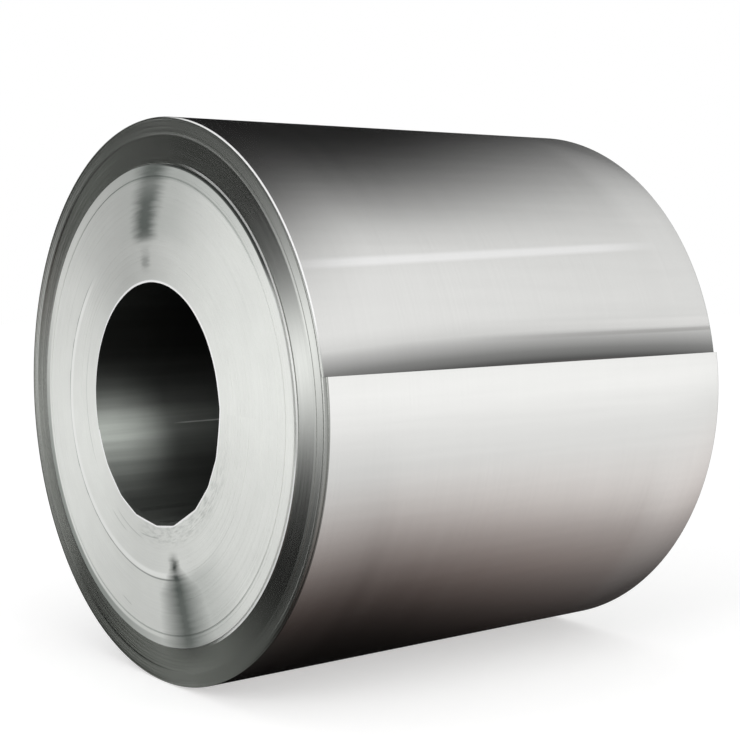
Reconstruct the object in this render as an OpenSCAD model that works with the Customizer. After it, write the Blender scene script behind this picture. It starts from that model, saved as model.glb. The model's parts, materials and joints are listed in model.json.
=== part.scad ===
// A coil of nickel alloy strip, lying on its round side with its bore level.
// One strip is wound turn on turn, and the edges of its turns make the two ends.

/* [Strip] */
// Width of the strip, which is the length of the coil
strip_w = 1080; // [500:10:1600]
// Thickness of the strip
strip_t = 3; // [2:0.25:5]

/* [Coil] */
// Outside radius, measured to the tip of the tail
outer_r = 600; // [450:5:900]
// Radius of the bore that the strip was wound on
bore_r = 254; // [150:1:305]

/* [Ends] */
// How far the turns next to the outer ring stand out of the front end
disc_rise = 3.6; // [0:0.2:10]
// How far the turns at the bore stand out of the front end
bore_rise = 12; // [0:0.5:25]
// How far the stray turns in the outer ring stand out
ridge_rise = 2.5; // [0:0.25:6]
// How far back the turns between the ridges of the outer ring sit
band_sunk = 2; // [0:0.25:6]
// How far back the turns in the gaps of the outer ring sit
gap_sunk = 5; // [0:0.5:12]
// How unevenly the edges of the turns lie, each way
edge_unevenness = 0.35; // [0:0.05:1]

/* [Tail and head] */
// Where the tail of the strip ends, going round from the side
tail_angle = 171; // [0:1:359]
// How far the tail has run sideways towards the back end
tail_wander = 6; // [0:0.5:12]
// Where the head of the strip ends in the bore
head_angle = 342; // [0:1:359]
// How far round the bore the first turn runs in
head_reach = 75; // [40:5:85]

/* [Hidden] */
facets = 180;
// The last turn is a spiral of four quarter arcs from the tip of the tail. Each quarter's radius
// is one fall less than the one before, so at its end the turn has fallen by the strip's
// thickness, and the round turns below it lie one fall deeper still
fall = strip_t / 4;
wound_r = outer_r - strip_t - fall;
turns = floor((wound_r - bore_r) / strip_t);
// The outer ring in bands from the outside in, each with its width and how far it stands out
ring_bands = [
  [6, 0], [3, -gap_sunk], [19, -0.5], [6, ridge_rise], [40, -band_sunk],
  [3, -gap_sunk], [4, ridge_rise], [6, -gap_sunk],
];
ring_w = band_start(len(ring_bands));
// Two single turns on the disc inside it that sit back: how deep they lie, and how far back
disc_gaps = [[122, 1.2], [228, 1.5]];
// How deep the last turn reaches into the turn below, and how deep its tail does
last_seat = strip_t / 2;
tail_seat = strip_t / 6;
// How deep into the bore the cut for the head starts, well clear of its wall
head_cut = 3 * strip_t;
// Sizes of a cutter that passes clear of both ends and of the outside
cutter_length = 2 * strip_w;
cutter_width = 3 * outer_r;
// The quarter of the last turn that the coil lies on, and how high that holds the axis
resting_quarter = floor(((270 - tail_angle + 360) % 360) / 90);
axis_h = quarter_r(resting_quarter) - quarter_centre(resting_quarter)
  * [sin(tail_angle), cos(tail_angle)];

function quarter_r(quarter) = outer_r - (quarter + 0.5) * fall;
// The centres of the quarters make a square about the axis
function quarter_centre(quarter) =
  [quarter < 2 ? fall / 2 : -fall / 2, quarter == 1 || quarter == 2 ? fall / 2 : -fall / 2];
// How deep below the outside a band of the outer ring starts
function band_start(band) = band == 0 ? 0 : band_start(band - 1) + ring_bands[band - 1][0];
// How deep below the outside the middle of a turn lies
function depth(turn) = outer_r - wound_r + (turn + 0.5) * strip_t;
// Inner radius of a turn, the last one reaching down to the bore
function inner_r(turn) = turn == turns - 1 ? bore_r : wound_r - (turn + 1) * strip_t;
// How far a turn of the outer ring stands out, from the band that it lies in
function ring_rise(turn, band = 0) =
  depth(turn) < band_start(band + 1) ? ring_bands[band][1] : ring_rise(turn, band + 1);
// How far a turn of the disc stands out: the dish rises evenly from the ring to the bore
function disc_out(turn) = disc_rise + (bore_rise - disc_rise) * (depth(turn) - ring_w)
  / (outer_r - bore_r - ring_w) - gap_at(turn);
function gap_at(turn) =
  max([0, for (gap = disc_gaps) if (abs(depth(turn) - gap[0]) <= strip_t / 2) gap[1]]);
// Small unevenness that differs from turn to turn
function uneven(turn) = edge_unevenness * (sin(97 * turn) + sin(41 * turn)) / 2;
// How far a turn stands out of the front end, and so sits back at the back end
function rise(turn) = turn == 0 ? 0
  : uneven(turn) + (depth(turn) < ring_w ? ring_rise(turn) : disc_out(turn));

// The front end's outline from the outside in, and the back end's from the bore out:
// every turn is as wide as the strip
function front_outline() = [for (turn = [0 : turns - 1])
  each [for (r = [wound_r - turn * strip_t, inner_r(turn)]) [r, -strip_w / 2 - rise(turn)]]];
function back_outline() = [for (turn = [turns - 1 : -1 : 0])
  each [for (r = [inner_r(turn), wound_r - turn * strip_t]) [r, strip_w / 2 - rise(turn)]]];

// All turns but the last, about the Z axis
module wound_turns() {
  rotate_extrude($fn = facets) polygon(concat(front_outline(), back_outline()));
}

// Part of a ring about a centre moved off the axis, as far round as its reach
module ring_part(centre, outer, inner, reach, length) {
  translate(centre) rotate_extrude(angle = reach, $fn = facets)
    translate([inner, -length / 2]) square([outer - inner, length]);
}

// One quarter of the last turn, which reaches into the turn below as deep as its seat
module quarter_turn(quarter, seat, length) {
  rotate([0, 0, 90 * quarter])
    ring_part([fall / 2, -fall / 2], quarter_r(quarter), wound_r - seat, 90, length);
}

// The last turn. Its first quarter is the tail, whose edges run askew because it wandered
module last_turn() {
  rotate([0, 0, tail_angle]) {
    for (quarter = [1 : 3]) quarter_turn(quarter, last_seat, strip_w);
    intersection() {
      quarter_turn(0, tail_seat, cutter_length);
      rotate([0, -atan(tail_wander / outer_r), 0])
        cube([cutter_width, cutter_width, strip_w], center = true);
    }
  }
}

// The cut in the bore that leaves the head of the strip as a step. Its circle stands one
// thickness outside the bore at the head, and crosses the bore's own circle at the reach's end
module head_step() {
  less = strip_t * cos(head_reach) / (1 - cos(head_reach));
  rotate([0, 0, head_angle])
    ring_part([strip_t + less, 0], bore_r - less, bore_r - head_cut, head_reach, cutter_length);
}

module coil() {
  color("gainsboro")
  translate([bore_rise / 2, 0, axis_h]) rotate([90, 0, 90]) difference() {
    union() {
      wound_turns();
      last_turn();
    }
    head_step();
  }
}

coil();
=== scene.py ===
import json
import bpy
import numpy as np
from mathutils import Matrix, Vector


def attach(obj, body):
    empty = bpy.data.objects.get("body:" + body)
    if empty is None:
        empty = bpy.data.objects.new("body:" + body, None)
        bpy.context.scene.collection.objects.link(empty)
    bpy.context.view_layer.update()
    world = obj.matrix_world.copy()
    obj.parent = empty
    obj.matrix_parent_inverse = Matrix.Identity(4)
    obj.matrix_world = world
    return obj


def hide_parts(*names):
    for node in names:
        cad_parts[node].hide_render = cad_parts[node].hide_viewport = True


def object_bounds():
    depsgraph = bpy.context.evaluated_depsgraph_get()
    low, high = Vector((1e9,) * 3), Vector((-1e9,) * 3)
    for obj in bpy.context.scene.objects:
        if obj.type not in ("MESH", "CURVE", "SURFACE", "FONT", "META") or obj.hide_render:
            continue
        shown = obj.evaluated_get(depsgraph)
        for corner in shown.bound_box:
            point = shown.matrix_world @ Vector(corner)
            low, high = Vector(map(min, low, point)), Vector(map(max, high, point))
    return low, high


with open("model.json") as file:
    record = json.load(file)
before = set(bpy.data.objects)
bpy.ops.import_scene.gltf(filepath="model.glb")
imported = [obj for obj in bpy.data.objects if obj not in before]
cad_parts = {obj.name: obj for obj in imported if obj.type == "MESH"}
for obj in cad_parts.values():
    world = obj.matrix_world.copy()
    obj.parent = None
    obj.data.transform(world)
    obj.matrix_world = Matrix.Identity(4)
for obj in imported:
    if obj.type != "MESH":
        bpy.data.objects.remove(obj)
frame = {"record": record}
cad_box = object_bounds()


# ---- The wound strip ----------------------------------------------------------------------
# One strip of nickel alloy, cold rolled bright, 1080 mm wide and 3 mm thick. It is wound turn
# on turn on a mandrel that is then drawn out. Its smooth face is the outside, its sheared edges
# make the ends, its tail lies on the outside and its head shows as a step in the bore.
MM = 0.001
# The strip and how it is wound: its tail and its head by degrees up from level at the back
bore = frame["record"]["mounts"][0]
axis_h = bore["pos_m"][2]
bore_r = bore["dims"]["r_mm"] * MM
strip_w = bore["dims"]["length_mm"] * MM
strip_t = 3 * MM
outer_r = 600 * MM
wound_r = outer_r - 1.25 * strip_t
turns = int((wound_r - bore_r) / strip_t)
tail_angle, head_angle, head_reach = 171, 342, 75
tail_wander = 6 * MM
corner_r = 2.8 * MM
# How far turns stand out of the front end: at the bore, beside the ring, and inside a seam where
# they have slipped. One turn sits low. The turns inside the ring sag towards one side.
bore_rise, disc_rise, slip_rise = 12 * MM, 3.6 * MM, 1 * MM
rim_x = bore["pos_m"][0] - strip_w / 2 + bore_rise
seam_r, seam_swell = 370 * MM, 14 * MM
low_turn_r, low_turn_drop = 484 * MM, 1.2 * MM
sag, sag_tilt = 12 * MM, 38
# The slope of the ring's edges in the mesh, and the lean that their finish adds within lean_r
edge_slope, edge_lean = np.tan(np.radians(6)), np.tan(np.radians(6))
lean_r = 565 * MM
# The lip of the bore: the flats round it, and how deep and how far out they show
lip_flats, lip_depth, lip_reach = 20, 10 * MM, 18 * MM
# The mesh: columns round the axis, how wide the tail's and the head's steps are in degrees, how
# far it stays inside the coil's box, and the width of the faces between two turns' edges
columns, step_width = 205, 0.05
inset, gap_w = 0.05 * MM, 0.005 * MM
# The outer ring in bands from the outside in: width, and how far the turns stand out
ring_bands = np.array([(6, 0), (3, -1.5), (19, -0.3), (6, 0.5), (47, -0.8), (6, 0.8),
                       (3, -2)]) * MM
ring_ends = np.cumsum(ring_bands[:, 0])
ring_w = ring_ends[-1]
disc_r = outer_r - ring_w


def column_angles():
    """Degrees from the tail's tip, even but for one close pair at the tail and at the head."""
    head = (head_angle - tail_angle) % 360
    even = np.linspace(0, 360 - step_width, columns - 1)
    even[np.argmin(abs(even - head))] = head
    return np.sort(np.append(even, head - step_width))


def slip_r(angle):
    """The radius of the seam inside which the turns have slipped, by the angle in degrees.

    It swells at the back, by the fourth power of the cosine of the angle and ten degrees.
    """
    return seam_r + seam_swell * np.clip(np.cos(np.radians(angle + 10)), 0, 1) ** 4


def sag_share(wound):
    """How much of the sag a turn takes: all at the disc's edge, none outside or in the bore."""
    return np.clip(np.minimum((outer_r - wound) / ring_w, (wound - bore_r) / (disc_r - bore_r)),
                   0, 1)


def turn_rises(turn, angle, rng):
    """How far each turn's edge stands out, for turns down the rows and angles along the columns.

    A turn takes its band's rise in the outer ring, and inside it an even slope up to the bore.
    Two sines of the angle and a random step per turn leave the edges uneven. From the bottom
    round the back and half way up, the turns inside the slipped seam stand out a little more.
    """
    depth = outer_r - wound_r + (turn + 0.5) * strip_t
    band = np.minimum(np.searchsorted(ring_ends, depth), len(ring_ends) - 1)
    inward = np.clip((depth - ring_w) / (outer_r - bore_r - ring_w), 0, 1)
    slope = disc_rise + (bore_rise - disc_rise) * inward
    base = np.where(depth < ring_w, ring_bands[band, 1], slope)
    a = np.radians(angle)[None, :]
    phase = np.cumsum(rng.normal(0, 0.5, (len(turn), 2)), 0)[:, :, None]
    waves = 0.15 * MM * (np.sin(a + phase[:, 0]) + np.sin(3 * a + phase[:, 1]))
    step = rng.uniform(-0.25, 0.25, len(turn))[:, None] * MM
    middle_r = (outer_r - depth)[:, None]
    sector = np.clip((85 - abs((angle + 30 + 180) % 360 - 180)) / 18, 0, 1)
    slipped = slip_rise * (middle_r < slip_r(angle)) * sector
    low = low_turn_drop * (abs(middle_r - low_turn_r) < strip_t / 2)
    return base[:, None] + waves + step + slipped - low


def wound_strip():
    """The whole coil as one closed surface: a profile of the ends, the bore and the outside,
    carried round the axis on a spiral that falls by one thickness, with a step where it ends.

    In the profile each turn is a step at its own rise. Its radius is less by the sag, times its
    share, times the sine of the angle past the sag's tilt. The rim's corners are rounded, and at
    the front lip of the bore the last turns are knocked outwards to the corners of flats. Given
    back are points, faces and each face's finish, and by point the bare lip and the cut edges.
    """
    rng = np.random.default_rng(7)
    turned = column_angles()
    angle = turned + tail_angle
    turn = np.arange(turns)
    rise = turn_rises(turn, angle, rng)
    # The outermost turn stands only just out of its own rounded corner
    rise[0] = 0.3 * MM
    ones = np.ones((1, len(turned)))
    last_r = (outer_r - strip_t * turned / 360)[None, :]
    wander = (tail_wander * np.clip(np.cos(np.radians(turned)), 0, 1)
              * (turned < 90))[None, :]
    # The head: a circle that stands one thickness outside the bore and runs into it
    past_head = np.radians((angle - head_angle) % 360)
    less = strip_t * np.cos(np.radians(head_reach)) / (1 - np.cos(np.radians(head_reach)))
    off = strip_t + less
    head_r = off * np.cos(past_head) + np.sqrt((bore_r - less) ** 2
                                               - (off * np.sin(past_head)) ** 2)
    in_reach = past_head < np.radians(head_reach)
    wall_r = np.where(in_reach, np.maximum(head_r, bore_r), bore_r)[None, :]
    wound = (wound_r - turn * strip_t)[:, None] * ones
    top = wound - sag * sag_share(wound) * np.sin(np.radians(angle - sag_tilt))
    top[:1] = np.minimum(wound_r, last_r - corner_r - inset)
    bottom = np.vstack([top[1:] + gap_w, wall_r])
    radii = np.stack([top, bottom], 1).reshape(-1, len(turned))
    # The outer ring's edges slope: each turn stands out most at its inner face
    in_ring = (wound > disc_r)[:, None] * edge_slope * strip_t / 2
    slopes = (in_ring * np.array([-1, 1])[None, :, None]).reshape(-1, len(turned))
    rises = np.repeat(rise, 2, 0)
    round_off = corner_r * (1 - np.sin(np.radians([0, 45, 90])))[:, None]
    round_in = corner_r * (1 - np.cos(np.radians([0, 45, 90])))[:, None]
    # Flats on the lip: straight from corner to corner, and deepest at the bottom
    shift, out = rng.uniform(-0.2, 0.2, lip_flats), rng.uniform(6.5, 8.5, lip_flats) * MM
    knocks = (np.arange(lip_flats + 1) + np.append(shift, shift[0])) * 360 / lip_flats
    knock_r = bore_r + np.append(out, out[0])
    round_to = (angle - knocks[0]) % 360 + knocks[0]
    flat = np.searchsorted(knocks, round_to, "right") - 1
    back, on = np.radians(round_to - knocks[flat]), np.radians(knocks[flat + 1] - round_to)
    straight = np.sin(back + on) / (np.sin(on) / knock_r[flat] + np.sin(back) / knock_r[flat + 1])
    flats = (straight - bore_r) * np.clip(0.2 + 0.9 * np.cos(np.radians(angle - 250)), 0.1, 1)
    knocked = radii + flats * np.clip(1 - (radii - bore_r) / lip_reach, 0, 1)
    corner = last_r - round_in
    # The rows of the profile: the front end, the bore, the back end and the outside
    front_r = np.vstack([corner, top[:1], knocked])
    back_r = np.vstack([corner, top[:1], radii])
    front_x = np.vstack([rim_x + wander + round_off, rim_x + wander, rim_x - rises - slopes])
    back_x = np.vstack([rim_x + strip_w + wander - round_off, rim_x + strip_w + wander,
                        rim_x + strip_w - rises + slopes])
    share = np.linspace(0, 1, 7)[1:-1, None]
    lip_share = np.vstack([lip_depth / strip_w, share])
    bore_x = front_x[-1:] + lip_share * (back_x[-1:] - front_x[-1:])
    skin_x = back_x[:1] + share * (front_x[:1] - back_x[:1])
    r = np.vstack([front_r, wall_r * np.ones_like(lip_share), back_r[::-1],
                   last_r * np.ones_like(share)])
    x = np.vstack([front_x, bore_x, back_x[::-1], skin_x])
    # The turns that slipped furthest are pressed into the last 0.8 mm before the coil's box
    lowest, press = cad_box[0][0] + inset, 0.8 * MM
    x = np.where(x < lowest + press, lowest + press * np.exp((x - lowest) / press - 1), x)
    x = np.minimum(x, cad_box[1][0] - inset)
    rows, cols = r.shape
    a = np.radians(angle)[None, :]
    points = np.stack([x, r * np.cos(a), axis_h + r * np.sin(a)], -1)
    i, j = np.meshgrid(np.arange(rows), np.arange(cols), indexing="ij")
    down, along = (i + 1) % rows, (j + 1) % cols
    faces = np.stack([i * cols + j, down * cols + j, down * cols + along,
                      i * cols + along], -1)
    # 0 is the rolled face, 1 the ends and 2 the bore, by the profile row that a face starts in
    end, gap = len(front_r), len(lip_share)
    kind = np.zeros((rows, cols), int)
    kind[:end - 1] = 1
    kind[end - 1:end + gap] = 2
    kind[end + gap:2 * end + gap - 1] = 1
    # The head's cut edge, which stands up across the bore, is sheared as the ends are
    kind[end - 1:end + gap, np.argmin(abs(turned - (head_angle - tail_angle))) - 1] = 1
    bare = np.zeros((rows, cols))
    bare[end - 3:end] = 1
    rim = len(corner) + 1
    cut = np.zeros((rows, cols), bool)
    cut[rim:end] = cut[end + gap:2 * end + gap - rim] = True
    return points.reshape(-1, 3), faces.reshape(-1, 4), kind.ravel(), bare.ravel(), cut.ravel()


def make_piece(name, points, faces, kinds, materials):
    """A smooth mesh object from arrays, with sharp edges where its faces turn by 30 degrees."""
    mesh = bpy.data.meshes.new(name)
    mesh.from_pydata(points.tolist(), [], faces.tolist())
    mesh.polygons.foreach_set("material_index", kinds)
    mesh.polygons.foreach_set("use_smooth", np.ones(len(faces), bool))
    for material in materials:
        mesh.materials.append(material)
    mesh.set_sharp_from_angle(angle=np.radians(30))
    mesh.update()
    piece = bpy.data.objects.new(name, mesh)
    bpy.context.scene.collection.objects.link(piece)
    return piece


def linear(hex_colour):
    """An sRGB hex colour as linear RGB with alpha 1."""
    srgb = np.array([int(hex_colour[i:i + 2], 16) / 255 for i in (1, 3, 5)])
    low, high = srgb / 12.92, ((srgb + 0.055) / 1.055) ** 2.4
    return (*np.where(srgb <= 0.04045, low, high), 1)


def add(tree, kind, links=None, **settings):
    """Adds a node. Settings are its own fields, and links give a value or a socket per input."""
    node = tree.nodes.new(kind)
    for name, value in settings.items():
        setattr(node, name, value)
    for socket, value in (links or {}).items():
        if isinstance(value, bpy.types.NodeSocket):
            tree.links.new(value, node.inputs[socket])
        else:
            node.inputs[socket].default_value = value
    return node


def new_material(name):
    """An empty material with its output and its node tree."""
    material = bpy.data.materials.new(name)
    material.use_nodes = True
    material.node_tree.nodes.clear()
    return material, material.node_tree


def around_axis(tree):
    """Sockets for a place on the coil: x, radius, and degrees up from level at the back."""
    place = add(tree, "ShaderNodeTexCoord").outputs["Object"]
    centred = add(tree, "ShaderNodeMapping", {0: place, "Location": (0, 0, -axis_h)}).outputs[0]
    parts = add(tree, "ShaderNodeSeparateXYZ", {0: centred}).outputs
    flat = add(tree, "ShaderNodeVectorMath", {0: centred, 1: (0, 1, 1)}, operation="MULTIPLY")
    radius = add(tree, "ShaderNodeVectorMath", {0: flat.outputs[0]}, operation="LENGTH")
    turn = add(tree, "ShaderNodeMath", {0: parts[2], 1: parts[1]}, operation="ARCTAN2")
    degrees = add(tree, "ShaderNodeMath", {0: turn.outputs[0]}, operation="DEGREES")
    return parts[0], radius.outputs["Value"], degrees.outputs[0]


def summed(tree, value, *parts):
    """A value plus others: each part is another value and how many times it is added."""
    for other, times in parts:
        value = add(tree, "ShaderNodeMath", {0: other, 1: times, 2: value},
                    operation="MULTIPLY_ADD").outputs[0]
    return value


def within(tree, *masks):
    """The product of masks and numbers."""
    product = masks[0]
    for mask in masks[1:]:
        product = add(tree, "ShaderNodeMath", {0: product, 1: mask},
                      operation="MULTIPLY").outputs[0]
    return product


def near(tree, value, centre, half, soft):
    """A mask that is 1 within half of the centre and fades out over soft beyond that."""
    off = add(tree, "ShaderNodeMath", {0: value, 1: centre}, operation="SUBTRACT")
    size = add(tree, "ShaderNodeMath", {0: off.outputs[0]}, operation="ABSOLUTE")
    return add(tree, "ShaderNodeMapRange", {0: size.outputs[0], 1: half, 2: half + soft, 3: 1.0,
                                            4: 0.0}, interpolation_type="SMOOTHSTEP").outputs[0]


def coated(tree, colour, *coats):
    """A colour under coats of oil, wear, bare metal, painted shade and painted highlight: each a
    hex colour and where it lies.
    """
    for hex_colour, mask in coats:
        colour = add(tree, "ShaderNodeMix", {0: mask, 6: colour, 7: linear(hex_colour)},
                     data_type="RGBA").outputs[2]
    return colour


def dimmed(tree, colour, *shades):
    """A colour times each of the shades, which are grey levels or other colours."""
    for shade in shades:
        colour = add(tree, "ShaderNodeMix", {0: 1.0, 6: colour, 7: shade}, data_type="RGBA",
                     blend_type="MULTIPLY").outputs[2]
    return colour


def graded(tree, value, first, last, stops, interpolation="LINEAR"):
    """A ramp of grey levels, or of colours, over a range of a value; stops are in its units.

    The first two stops are the lowest and the highest.
    """
    share = add(tree, "ShaderNodeMapRange", {0: value, 1: first, 2: last}).outputs[0]
    node = add(tree, "ShaderNodeValToRGB", {0: share})
    ramp = node.color_ramp
    ramp.interpolation = interpolation
    for index, (position, level) in enumerate(stops):
        position = (position - first) / (last - first)
        if index < 2:
            ramp.elements[index].position = position
        stop = ramp.elements[index] if index < 2 else ramp.elements.new(position)
        stop.color = (*level, 1) if isinstance(level, tuple) else (level, level, level, 1)
    return node.outputs[0]


def streaky(tree, across, along, size_across, size_along, low, high, detail=2.0):
    """Noise stretched along one way of the surface, from low to high. Sizes are of its waves."""
    stretched = add(tree, "ShaderNodeCombineXYZ", {
        0: within(tree, across, 1 / size_across), 1: within(tree, along, 1 / size_along)})
    noise = add(tree, "ShaderNodeTexNoise", {"Vector": stretched.outputs[0], "Scale": 1.0,
                                             "Detail": detail})
    return add(tree, "ShaderNodeMapRange", {0: noise.outputs[0], 1: 0.25, 2: 0.75, 3: low,
                                            4: high}).outputs[0]


def rolled_face():
    """Bright cold rolled strip: a mirror blurred along the rolling lines, which run round.

    Above the tail's edge the turn under it is darkened with painted shade, widest at mid length.
    A painted highlight line and a faint crease of painted shade and highlight run along the coil,
    where the strip was bent.
    """
    highlight_angle, highlight_lean, crease_angle = 148.1, 4.0, 165.7
    material, tree = new_material("cold_rolled_nickel_alloy")
    x, _, degrees = around_axis(tree)
    # Real rolling lines are far finer than 3 mm, and these are as coarse as they need to show
    rolling = streaky(tree, x, degrees, 3 * MM, 60, 0.97, 1.0)
    flatness = streaky(tree, degrees, x, 2.2, 0.5, 0.965, 1.0)
    colour = dimmed(tree, linear("#e8e8e6"), rolling, flatness)
    # Painted shade by degrees above the tail, which count for more towards both ends of the coil
    narrower_at_ends = add(tree, "ShaderNodeMath", {0: summed(tree, -0.1, (x, 1.0)), 1: 2.0},
                     operation="POWER").outputs[0]
    above = summed(tree, tail_angle, (degrees, -1.0), (narrower_at_ends, 5.5))
    tail_shade = graded(tree, above, 0, 12, [
        (0, (0.13, 0.12, 0.12)), (12, 1.0), (0.5, 0.1), (1.5, 0.2), (2.5, 0.27), (3.5, 0.39),
        (4.5, 0.51), (5.5, 0.64), (6.5, 0.8), (8, 0.9), (9.5, 0.97)])
    is_above = add(tree, "ShaderNodeMath", {0: degrees, 1: tail_angle}, operation="LESS_THAN")
    colour = add(tree, "ShaderNodeMix", {0: is_above.outputs[0], 6: colour,
                                         7: dimmed(tree, colour, tail_shade)},
                 data_type="RGBA").outputs[2]
    # Painted highlight: a white line along the coil; the crease is a painted shade beside a
    # painted highlight
    highlight_line = within(tree, near(tree, summed(tree, degrees, (x, highlight_lean)), highlight_angle, 0.3, 1.1),
                  near(tree, x, -0.08, 0.32, 0.25), 0.65)
    crease_end = add(tree, "ShaderNodeMapRange", {0: x, 1: -0.2, 2: 0.5}).outputs[0]
    crease_shade = within(tree, near(tree, degrees, crease_angle, 0.15, 0.5), crease_end, 0.3)
    crease_highlight = within(tree, near(tree, degrees, crease_angle - 1.7, 0.5, 1.0), crease_end,
                         0.35)
    colour = coated(tree, colour, ("#ffffff", highlight_line), ("#5c5854", crease_shade),
                    ("#f8f7f5", crease_highlight))
    wiped = streaky(tree, x, degrees, 40 * MM, 25, 0.2, 0.24)
    lines = add(tree, "ShaderNodeBump", {"Strength": 0.25, "Distance": 0.01 * MM,
                                         "Height": rolling})
    tangent = add(tree, "ShaderNodeTangent", direction_type="RADIAL", axis="X")
    shader = add(tree, "ShaderNodeBsdfPrincipled", {
        "Base Color": colour, "Metallic": 1, "Roughness": wiped, "Normal": lines.outputs[0],
        "Anisotropic": 0.5, "Anisotropic Rotation": 0.25, "Tangent": tangent.outputs[0]})
    add(tree, "ShaderNodeOutputMaterial", {0: shader.outputs[0]})
    return material


def wound_radius(tree, radius, degrees):
    """The radius that a turn was wound to, before it sagged.

    It is the radius plus the sag times the turn's share of it, times the sine of the angle.
    """
    from_rim = add(tree, "ShaderNodeMapRange", {0: radius, 1: outer_r, 2: disc_r})
    from_bore = add(tree, "ShaderNodeMapRange", {0: radius, 1: bore_r, 2: disc_r})
    share = add(tree, "ShaderNodeMath", {0: from_rim.outputs[0], 1: from_bore.outputs[0]},
                operation="MINIMUM").outputs[0]
    angle = add(tree, "ShaderNodeMath", {0: summed(tree, -sag_tilt, (degrees, 1.0))},
                operation="RADIANS").outputs[0]
    height = add(tree, "ShaderNodeMath", {0: angle}, operation="SINE").outputs[0]
    return summed(tree, radius, (within(tree, share, height), sag))


def disc_lines(tree, radius, degrees):
    """Coats on the disc: a darker band at its edge near the top, painted shade along its lower
    left edge, and the low turn's edge and the slipped seam.

    The seam lies at the radius that slip_r gives, and the turns inside it are rubbed bright.
    """
    outer_band = within(tree, near(tree, radius, 500 * MM, 20 * MM, 3 * MM),
                        near(tree, degrees, 105, 20, 25), 0.3)
    # Painted shade: a soft grey band along the disc's lower left edge
    painted_left_edge_shade = within(tree, near(tree, radius, 503.5 * MM, 7.5 * MM, 5 * MM),
                       near(tree, degrees, -40, 15, 60), 0.9)
    top_and_bottom = add(tree, "ShaderNodeMath", {
        0: near(tree, degrees, 92, 30, 40), 1: near(tree, degrees, -95, 30, 40)},
        operation="MAXIMUM").outputs[0]
    low_line = within(tree, near(tree, radius, low_turn_r, 0.6 * MM, 2 * MM), top_and_bottom, 0.4)
    swell = add(tree, "ShaderNodeMath", {0: summed(tree, 10.0, (degrees, 1.0))},
                operation="RADIANS").outputs[0]
    swell = add(tree, "ShaderNodeMath", {0: swell}, operation="COSINE").outputs[0]
    swell = add(tree, "ShaderNodeMath", {0: swell, 1: 0.0}, operation="MAXIMUM").outputs[0]
    swell = add(tree, "ShaderNodeMath", {0: swell, 1: 4.0}, operation="POWER").outputs[0]
    past_seam = summed(tree, radius, (swell, -seam_swell), (1.0, -seam_r))
    sector = near(tree, degrees, -32, 62, 18)
    rubbed = within(tree, near(tree, past_seam, -8 * MM, 2 * MM, 7 * MM), sector, 0.6)
    seam = within(tree, near(tree, past_seam, 0.0, 0.5 * MM, 2.2 * MM), sector, 0.62)
    return [("#8d948f", outer_band), ("#8a908b", painted_left_edge_shade), ("#6f7873", low_line),
            ("#fbfcfa", rubbed), ("#3f4743", seam)]


def oil_and_shade_streaks(tree, radius, degrees):
    """Coats of dark streaks above the bore and below it, partly oil that ran down and partly
    painted shade where the end reflects dark, and soft painted shade beside them.

    A streak is 1 up to a half width from its middle angle, which ragged noise shifts, and fades
    out from there to its reach. Both grow with the radius, and so does a strength that dries out
    in places. The lower streak is returned by itself too, because it runs on over the ring.
    """
    ragged = streaky(tree, radius, degrees, 7 * MM, 12, -1.5, 1.5, 3.0)
    bent = add(tree, "ShaderNodeMath", {0: radius, 1: 0.385}, operation="MAXIMUM").outputs[0]
    off = add(tree, "ShaderNodeMath", {
        0: summed(tree, -66.7, (degrees, 1.0), (bent, -45.0), (ragged, 1.0))},
        operation="ABSOLUTE").outputs[0]
    half = add(tree, "ShaderNodeMapRange", {0: radius, 1: 0.325, 2: 0.35, 3: 0.6, 4: 1.0})
    reach = add(tree, "ShaderNodeMapRange", {0: radius, 1: 0.325, 2: 0.35, 3: 5.5, 4: 10.5})
    upper = add(tree, "ShaderNodeMapRange", {
        0: off, 1: half.outputs[0], 2: reach.outputs[0], 3: 1.0, 4: 0.0},
        interpolation_type="SMOOTHSTEP").outputs[0]
    strength = graded(tree, radius, 0.27, 0.53, [
        (0.27, 0.0), (0.53, 0.5), (0.284, 0.1), (0.292, 0.4), (0.306, 0.42), (0.314, 0.2),
        (0.33, 0.12), (0.34, 0.05), (0.35, 0.55), (0.357, 0.8), (0.372, 0.95), (0.43, 0.92),
        (0.452, 0.78), (0.47, 0.66), (0.48, 0.8), (0.5, 0.9)])
    upper = within(tree, upper, strength)
    middle = add(tree, "ShaderNodeMapRange", {0: radius, 1: 0.33, 2: 0.51, 3: 102.5, 4: 104.0})
    off = add(tree, "ShaderNodeMath", {
        0: summed(tree, degrees, (ragged, 0.45), (middle.outputs[0], 1.0))},
        operation="ABSOLUTE").outputs[0]
    half = add(tree, "ShaderNodeMapRange", {0: radius, 1: 0.345, 2: 0.40, 3: 0.5, 4: 1.0})
    reach = add(tree, "ShaderNodeMapRange", {0: radius, 1: 0.345, 2: 0.40, 3: 4.0, 4: 12.5})
    lower = add(tree, "ShaderNodeMapRange", {
        0: off, 1: half.outputs[0], 2: reach.outputs[0], 3: 1.0, 4: 0.0}).outputs[0]
    strength = graded(tree, radius, 0.31, 0.56, [
        (0.31, 0.0), (0.56, 0.0), (0.322, 0.25), (0.332, 0.7), (0.345, 1.0), (0.353, 0.75),
        (0.358, 0.65), (0.364, 1.0), (0.369, 1.0), (0.376, 0.9), (0.39, 1.0), (0.41, 0.94),
        (0.47, 0.93), (0.5, 0.88), (0.525, 0.6)])
    lower = within(tree, lower, strength)
    # Soft painted shade beside the streaks, above the bore and below it
    upper_painted_shade = within(tree, near(tree, degrees, 93, 6, 26),
                         near(tree, radius, 440 * MM, 60 * MM, 50 * MM), 0.22)
    lower_painted_shade = within(tree, near(tree, degrees, -111, 3, 22),
                         near(tree, radius, 440 * MM, 60 * MM, 30 * MM), 0.34)
    return [("#3a403c", upper), ("#7f8782", upper_painted_shade), ("#363c38", lower),
            ("#7f8782", lower_painted_shade)], lower


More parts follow.
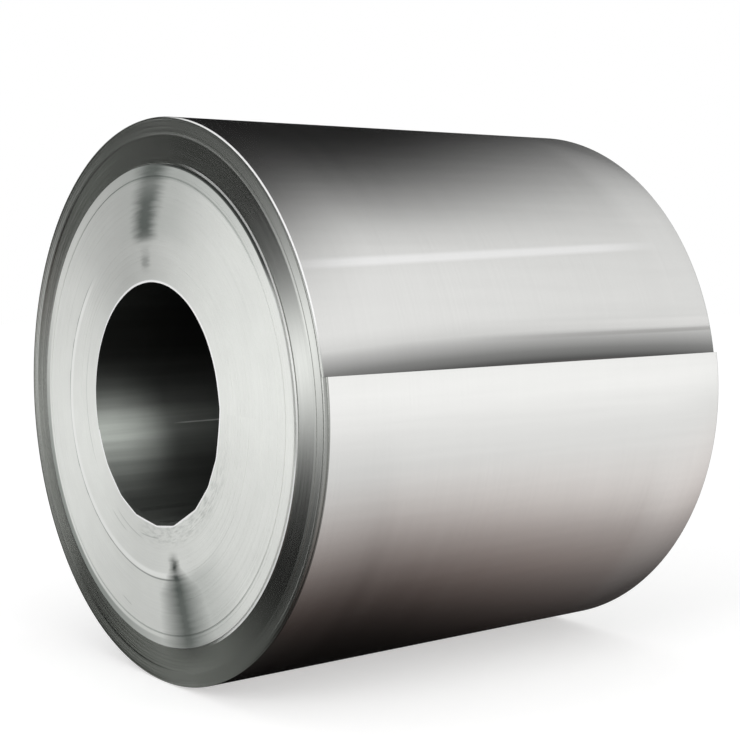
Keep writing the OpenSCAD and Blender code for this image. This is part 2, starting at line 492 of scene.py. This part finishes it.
def wear_marks_and_step_shadow(tree, radius, degrees):
    """Coats of wear: scuffs of the mandrel below the lip, towards the front, a few scratches
    round the axis, painted shadow in the step round the disc's edge, and the lip's bare edge.
    """
    scuffs = within(tree, streaky(tree, radius, degrees, 6 * MM, 5, -0.6, 1.0, 5.0),
                    near(tree, radius, 275 * MM, 12 * MM, 25 * MM),
                    near(tree, degrees, -120, 25, 30), 0.45)
    marks = [("#848a84", scuffs)]
    # A scratch's radius and middle angle, its length in degrees, and its drift in and out
    for scratch_r, middle, length, drift in (
            (0.297, -68, 14, 0.0002), (0.288, -85, 9, -0.0003), (0.458, -73, 3, 0.0008),
            (0.312, -60, 8, 0.0001), (0.301, -5, 30, 0.0)):
        line = near(tree, summed(tree, radius, (degrees, drift)), scratch_r + drift * middle,
                    0.3 * MM, 1.6 * MM)
        marks.append(("#6b726d", within(tree, line, near(tree, degrees, middle, length / 2,
                                                         length / 2), 0.33)))
    # Painted shadow in the step round the disc's edge, at the upper right
    painted_step_shadow = within(tree, near(tree, radius, disc_r - 1.5 * MM, 1.5 * MM, 1.5 * MM),
                      near(tree, degrees, 120, 22, 12), 0.9)
    bare_lip = add(tree, "ShaderNodeAttribute", attribute_name="bare_lip").outputs["Fac"]
    return marks + [("#2c312e", painted_step_shadow), ("#ffffff", within(tree, bare_lip, 0.95))]


def burrs_and_highlights(tree, radius, degrees):
    """A mask of bright lines on the ring where a turn stands proud: partly bare burr, and partly
    painted highlight where these edges catch the light.
    """
    burr_highlights = 0.0
    # A burr's radius and half width, its strength, and its middle and half length in degrees.
    # The third burr carries the second one on past the line where the degrees start again.
    for burr_r, half, strength, middle, reach in (
            (outer_r - 1.5 * MM, 2.5 * MM, 1.0, 131, 28),
            (disc_r + 6 * MM, 2.2 * MM, 0.5, 162, 50),
            (disc_r + 6 * MM, 2.2 * MM, 0.5, -190, 12),
            (disc_r + 3 * MM, 3 * MM, 0.8, -146, 22),
            (outer_r - 32 * MM, 1.2 * MM, 0.12, 128, 30),
            (outer_r - 12 * MM, 1.2 * MM, 0.12, -155, 10)):
        burr = within(tree, near(tree, radius, burr_r, half, 1 * MM),
                      near(tree, degrees, middle, reach, 14), strength)
        burr_highlights = add(tree, "ShaderNodeMath", {0: burr_highlights, 1: burr}, operation="MAXIMUM").outputs[0]
    return burr_highlights


def sheared_ends():
    """Sheared strip edges: fine lines round the axis, matt on the disc and bright at the rim.

    Painted shade by angle round the axis, the oil streaks and their painted shade, the painted
    highlights on the ring and the marks are on the front end. The back end is plain and grey.
    """
    material, tree = new_material("sheared_strip_edges")
    x, radius, degrees = around_axis(tree)
    radius = wound_radius(tree, radius, degrees)
    front = add(tree, "ShaderNodeMath", {0: x, 1: 0.0}, operation="LESS_THAN").outputs[0]
    turn_lines = streaky(tree, radius, degrees, 2.2 * MM, 40, 0.0, 1.0)
    line_shade = add(tree, "ShaderNodeMapRange", {
        0: turn_lines, 3: summed(tree, 0.8, (front, 0.14)), 4: 1.0}).outputs[0]
    cloud = streaky(tree, radius, degrees, 60 * MM, 14, 0.95, 1.0)
    # Painted shade by angle round the axis: darkest over the top of the front end, and darker
    # under it
    painted_shade_by_angle = graded(tree, degrees, -180, 180, [
        (-180, 1.0), (180, 1.0), (-130, 0.97), (-92, 0.84), (-70, 0.84), (-42, 1.0), (-10, 1.0),
        (30, 0.9), (50, 0.66), (70, 0.56), (90, 0.66), (110, 0.82), (130, 0.92)], "B_SPLINE")
    colour = dimmed(tree, linear("#f1f3ef"), line_shade, cloud)
    colour = add(tree, "ShaderNodeMix", {0: front, 6: dimmed(tree, colour, (0.8, 0.8, 0.8, 1)),
                                         7: dimmed(tree, colour, painted_shade_by_angle)},
                 data_type="RGBA").outputs[2]
    streaks, lower_streak = oil_and_shade_streaks(tree, radius, degrees)
    # The ring's bright lines are partly bare burr and partly painted highlight
    burr_highlights = within(tree, burrs_and_highlights(tree, radius, degrees), front)
    marks = disc_lines(tree, radius, degrees) + streaks + wear_marks_and_step_shadow(tree, radius, degrees)
    front_marks = [(hex_colour, within(tree, mask, front)) for hex_colour, mask in marks]
    colour = coated(tree, colour, *front_marks, ("#ffffff", burr_highlights))
    # Painted shade in the gaps: on the ring the faces that look out of the end keep their colour,
    # and the walls of the gaps between turns are painted darker
    normal = add(tree, "ShaderNodeTexCoord").outputs["Normal"]
    painted_gap_shade = add(tree, "ShaderNodeSeparateXYZ", {0: normal}).outputs[0]
    painted_gap_shade = add(tree, "ShaderNodeMath", {0: painted_gap_shade}, operation="ABSOLUTE").outputs[0]
    painted_gap_shade = add(tree, "ShaderNodeMapRange", {0: painted_gap_shade, 1: 0.35, 2: 0.8, 3: 0.45, 4: 1.0})
    steel = dimmed(tree, dimmed(tree, linear("#e2e4e0"), painted_gap_shade.outputs[0]), line_shade)
    # The lower streak, partly painted shade, runs on over the ring
    steel = coated(tree, steel, ("#2c312e", within(tree, lower_streak, front, 0.6)))
    lines = add(tree, "ShaderNodeBump", {"Strength": 0.4, "Distance": 0.05 * MM,
                                         "Height": turn_lines})
    # The ring's edges lean outward more than their mesh does, turn by turn, up to its outer band
    inner_ring = add(tree, "ShaderNodeMath", {0: radius, 1: lean_r}, operation="MINIMUM")
    leaned = add(tree, "ShaderNodeBump", {"Strength": 1.0, "Distance": 1.0, "Height": within(
        tree, inner_ring.outputs[0], -edge_lean)})
    ring_lines = add(tree, "ShaderNodeBump", {"Strength": 0.4, "Distance": 0.05 * MM,
                                              "Height": turn_lines, "Normal": leaned.outputs[0]})
    tangent = add(tree, "ShaderNodeTangent", direction_type="RADIAL", axis="X")
    matt = add(tree, "ShaderNodeBsdfPrincipled", {
        "Base Color": colour, "Metallic": 0.2, "Roughness": 0.45, "Normal": lines.outputs[0],
        "Anisotropic": 0.8, "Anisotropic Rotation": 0.25, "Tangent": tangent.outputs[0]})
    wiped = streaky(tree, radius, degrees, 5 * MM, 30, 0.19, 0.25)
    bright = add(tree, "ShaderNodeBsdfPrincipled", {
        "Base Color": steel, "Metallic": 1, "Roughness": wiped, "Normal": ring_lines.outputs[0],
        "Anisotropic": 0.5, "Anisotropic Rotation": 0.25, "Tangent": tangent.outputs[0]})
    on_ring = add(tree, "ShaderNodeMapRange", {0: radius, 1: disc_r - 1 * MM, 2: disc_r + 1 * MM})
    not_bare = add(tree, "ShaderNodeMath", {0: 1.0, 1: burr_highlights}, operation="SUBTRACT")
    both = add(tree, "ShaderNodeMixShader", {
        0: within(tree, on_ring.outputs[0], not_bare.outputs[0]), 1: matt.outputs[0],
        2: bright.outputs[0]})
    add(tree, "ShaderNodeOutputMaterial", {0: both.outputs[0]})
    return material


def bore_wall():
    """The strip's inner face in the bore, dulled by the mandrel and its oil.

    Oil has gathered in bands along the bore. Painted light and shade make the upper half the
    darkest and a band just below level at the back the brightest, and painted shade darkens it
    deeper in. The head's edge is rubbed bright, but not in front.
    """
    material, tree = new_material("oiled_bore_wall")
    x, _, degrees = around_axis(tree)
    bands = streaky(tree, degrees, x, 5, 0.6, 0.7, 1.0, 3.0)
    # Painted light and shade round the bore: darkest over the top, brightest just below level at
    # the back
    painted_light_by_angle = graded(tree, degrees, -180, 180, [
        (-180, 0.25), (180, 0.06), (-90, 0.25), (-45, 0.32), (-36, 0.46), (-22, 1.0), (-14, 0.95),
        (-6, 0.45), (2, 0.2), (8, 0.13), (20, 0.06), (90, 0.03)])
    # Painted shade, darker deeper in from both mouths
    from_middle = add(tree, "ShaderNodeMath", {0: x}, operation="ABSOLUTE").outputs[0]
    painted_depth_shade = add(tree, "ShaderNodeMapRange", {0: from_middle, 1: 0.24, 2: 0.5, 3: 0.45, 4: 1.0})
    colour = dimmed(tree, linear("#aeb3ad"), within(tree, painted_light_by_angle, painted_depth_shade.outputs[0]), bands)
    past_mouth = add(tree, "ShaderNodeMapRange", {0: x, 1: -0.355, 2: -0.32}).outputs[0]
    head_line = within(tree, near(tree, degrees, head_angle - 360 + 0.3, 0.2, 0.35), past_mouth,
                       0.6)
    colour = coated(tree, colour, ("#e8ebe7", head_line))
    dull = streaky(tree, x, degrees, 30 * MM, 20, 0.38, 0.48)
    tangent = add(tree, "ShaderNodeTangent", direction_type="RADIAL", axis="X")
    shader = add(tree, "ShaderNodeBsdfPrincipled", {
        "Base Color": colour, "Metallic": 0.6, "Roughness": dull,
        "Anisotropic": 0.6, "Anisotropic Rotation": 0.25, "Tangent": tangent.outputs[0]})
    add(tree, "ShaderNodeOutputMaterial", {0: shader.outputs[0]})
    return material


points, faces, kinds, bare, cut = wound_strip()
coil = make_piece("wound_strip", points, faces, kinds,
                  [rolled_face(), sheared_ends(), bore_wall()])
coil.data.attributes.new("bare_lip", "FLOAT", "POINT").data.foreach_set("value", bare)
# Each turn's sheared edge is crisp, however little it stands out from the next one
pairs = np.zeros((len(coil.data.edges), 2), int)
coil.data.edges.foreach_get("vertices", pairs.ravel())
crisp = np.zeros(len(pairs), bool)
coil.data.edges.foreach_get("use_edge_sharp", crisp)
along_turn = np.isin(abs(pairs[:, 0] - pairs[:, 1]), (1, columns - 1))
coil.data.edges.foreach_set("use_edge_sharp", crisp | along_turn & cut[pairs].all(1))
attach(coil, "root")
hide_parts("coil")


# ---- Floor --------------------------------------------------------------------------------
# A plain pale sheet under the coil, which runs on to the white of the room.
# It is matt, and it holds the coil's soft shadow.
def stage_light(tree, strength):
    """A strength for rays from the camera, from metal and through glass, and none for others."""
    path = add(tree, "ShaderNodeLightPath")
    seen = add(tree, "ShaderNodeMath", {0: path.outputs["Is Camera Ray"],
                                        1: path.outputs["Is Glossy Ray"]}, operation="MAXIMUM")
    seen = add(tree, "ShaderNodeMath", {0: seen.outputs[0],
                                        1: path.outputs["Is Transmission Ray"]},
               operation="MAXIMUM")
    return add(tree, "ShaderNodeMath", {0: seen.outputs[0], 1: strength}, operation="MULTIPLY")


floor_half = 14
floor_points = np.array([(-1, -1, 0), (1, -1, 0), (1, 1, 0), (-1, 1, 0)]) * floor_half
matt_white, tree = new_material("matt_white_sheet")
sheet = add(tree, "ShaderNodeBsdfDiffuse", {0: linear("#e6e6e6")})
lift = add(tree, "ShaderNodeEmission", {1: stage_light(tree, 0.4).outputs[0]})
total = add(tree, "ShaderNodeAddShader", {0: sheet.outputs[0], 1: lift.outputs[0]})
add(tree, "ShaderNodeOutputMaterial", {0: total.outputs[0]})
floor = make_piece("floor", floor_points, np.array([(0, 1, 2, 3)]), [0], [matt_white])


# ---- Studio -------------------------------------------------------------------------------
# A white room with a soft lamp, and a tent round the coil that only metal mirrors: it is bright
# in front, and graded to black above, below and behind, as cards grade a polished cylinder.
world = bpy.data.worlds.new("white_room")
bpy.context.scene.world = world
world.use_nodes = True
tree = world.node_tree
tree.nodes.clear()
background = add(tree, "ShaderNodeBackground", {0: (1, 1, 1, 1)})
room = add(tree, "ShaderNodeMath", {0: stage_light(tree, 0.2).outputs[0], 1: 0.8})
tree.links.new(room.outputs[0], background.inputs[1])
add(tree, "ShaderNodeOutputWorld", {0: background.outputs[0]})


def tent_glow(way):
    """The tent's colour in each direction from the coil.

    Lift is the angle round the coil's axis, from level in front and up over the top. The front
    card fades out over the top and under the coil, each as one over one plus an exponential of
    the lift past a middle, with one width on the bright side and another on the dark side.
    Towards the back end the middles lie further round, and past the front end the upper one
    does. The card is brown at the bottom, and a lamp hangs a little above level. Behind the
    front end there is a band at eye level, brightest straight past the end, with faint patches
    above and below it.
    """
    dx, dy = way[:, 0], way[:, 1]
    lift = np.degrees(np.arctan2(way[:, 2], -dy))
    past_front = np.clip((-0.2 - dx) / 0.3, 0, 1)
    along = (0.5, 0.57, 0.62, 0.67, 0.72, 0.85)
    over = (lift - np.interp(dx, along, (83, 79.5, 75.5, 95, 113, 138))
            + 60 * np.clip(0.56 - dx, 0, 0.4) - 45 * past_front)
    near_side = np.interp(dx, (0.5, 0.57, 0.76), (11.5, 5, 20))
    far_side = np.interp(dx, along, (11.5, 10, 15.6, 21.5, 24, 24))
    peak = np.interp(dx, (0.66, 0.7, 0.74, 0.8), (0.97, 0.83, 0.83, 0.88))
    top = peak / (1 + np.exp(over / np.where(over < 0, near_side, far_side))) + 0.012
    under = np.interp(dx, along, (-47, -42.6, -57, -62, -67.5, -89)) - lift
    near_side = np.interp(dx, (0.5, 0.57, 0.76), (13.2, 8.5, 11.4))
    far_side = np.interp(dx, along, (13.2, 13.2, 16, 20, 23, 23))
    low = 0.92 / (1 + np.exp(under / np.where(under < 0, near_side, far_side)))
    lamp = 0.22 * np.exp(-((lift - 4) / 15) ** 2)
    front = np.where(lift > 17, top, low) + lamp
    rise = np.degrees(np.arcsin(way[:, 2]))
    ahead = np.clip(-dx, 0, 1)
    past = rise + 2.5 - 4 * ahead ** 2
    horizon = ((0.62 + 0.68 * np.clip((ahead - 0.3) / 0.4, 0, 1))
               * np.exp(-(past / np.where(past > 0, 5, 7)) ** 2))
    floor_patch = 0.15 * np.exp(-((ahead - 0.35) / 0.28) ** 4) * np.clip((-16 - rise) / 6, 0, 1)
    high_patch = (0.14 * np.exp(-((ahead - 0.2) / 0.15) ** 2) * (rise > 0)
                  + 0.12 * np.exp(-((ahead - 0.59) / 0.08) ** 2 - ((rise - 9) / 3.5) ** 2))
    dim = floor_patch + high_patch + 0.03 - 0.022 * (ahead > 0.7)
    back_share = (np.clip((0.35 - dx) / 0.3, 0, 1) * np.clip(dy / 0.1, 0, 1)
                  * np.clip((60 - rise) / 20, 0, 1))
    brown = np.clip((-25 - lift) / 60, 0, 1) * np.clip((0.8 - dx) / 0.15, 0.4, 1)
    rgb = (front * (1 - back_share))[:, None] * (1 - brown[:, None] * (0.0, 0.22, 0.28))
    rgb += (horizon * back_share)[:, None]
    rgb += (dim * back_share)[:, None] * (0.98, 1.02, 0.96)
    return np.column_stack([rgb, np.ones(len(way))])


# The tent is a sphere round the coil's middle, with a point at each latitude and longitude
tent_r = 12
lat, lon = np.meshgrid(np.linspace(-90, 90, 61), np.linspace(0, 360, 121)[:-1], indexing="ij")
way = np.stack([np.cos(np.radians(lat)) * np.cos(np.radians(lon)),
                np.cos(np.radians(lat)) * np.sin(np.radians(lon)), np.sin(np.radians(lat))],
               -1).reshape(-1, 3)
rows, cols = lat.shape
i, j = np.meshgrid(np.arange(rows - 1), np.arange(cols), indexing="ij")
tent_faces = np.stack([i * cols + j, (i + 1) * cols + j, (i + 1) * cols + (j + 1) % cols,
                       i * cols + (j + 1) % cols], -1).reshape(-1, 4)
card_face, tree = new_material("graded_card")
glow = add(tree, "ShaderNodeAttribute", attribute_name="glow")
card = add(tree, "ShaderNodeEmission", {0: glow.outputs["Color"], 1: 1})
add(tree, "ShaderNodeOutputMaterial", {0: card.outputs[0]})
card_face.cycles.emission_sampling = "NONE"
tent = make_piece("tent", way * tent_r + (0, 0, axis_h), tent_faces,
                  np.zeros(len(tent_faces), int), [card_face])
colours = tent.data.attributes.new("glow", "FLOAT_COLOR", "POINT")
colours.data.foreach_set("color", tent_glow(way).ravel())
tent.visible_camera = tent.visible_diffuse = tent.visible_shadow = False
tent.visible_transmission = tent.visible_volume_scatter = False
floor.visible_glossy = False

lamp_data = bpy.data.lights.new("soft_lamp", "AREA")
lamp_data.size, lamp_data.energy = 2.5, 115
lamp = bpy.data.objects.new("soft_lamp", lamp_data)
lamp.location = (-5, -2.2, 2.8)
lamp.visible_glossy = False
bpy.context.scene.collection.objects.link(lamp)
lamp.rotation_euler = (np.radians(-68), 0, np.radians(66))

# A small spot inside the bore's mouth, out of sight, which lights its far wall
spot_data = bpy.data.lights.new("bore_spot", "SPOT")
spot_data.energy, spot_data.spot_size, spot_data.spot_blend = 13, np.radians(46), 1
spot_data.shadow_soft_size = 0.03
spot = bpy.data.objects.new("bore_spot", spot_data)
spot.location = (rim_x + 10 * MM, -0.6 * bore_r, axis_h + 0.24 * bore_r)
spot.rotation_euler = (np.radians(68), 0, 0)
spot.visible_camera = spot.visible_glossy = False
bpy.context.scene.collection.objects.link(spot)


# ---- Camera -------------------------------------------------------------------------------
# Out past the front end and off to the coil's side, a little above the axis.
# It sees the whole front end, and the long side beyond it.
camera_data = bpy.data.cameras.new("camera")
camera_data.lens = 76.07
camera = bpy.data.objects.new("camera", camera_data)
camera.location = (-2.1948, -2.8711, 0.9336)
camera.rotation_euler = (np.pi / 2 - 0.0805, 0, -0.6594)
bpy.context.scene.collection.objects.link(camera)
bpy.context.scene.camera = camera

bpy.context.scene.view_settings.view_transform = "Standard"
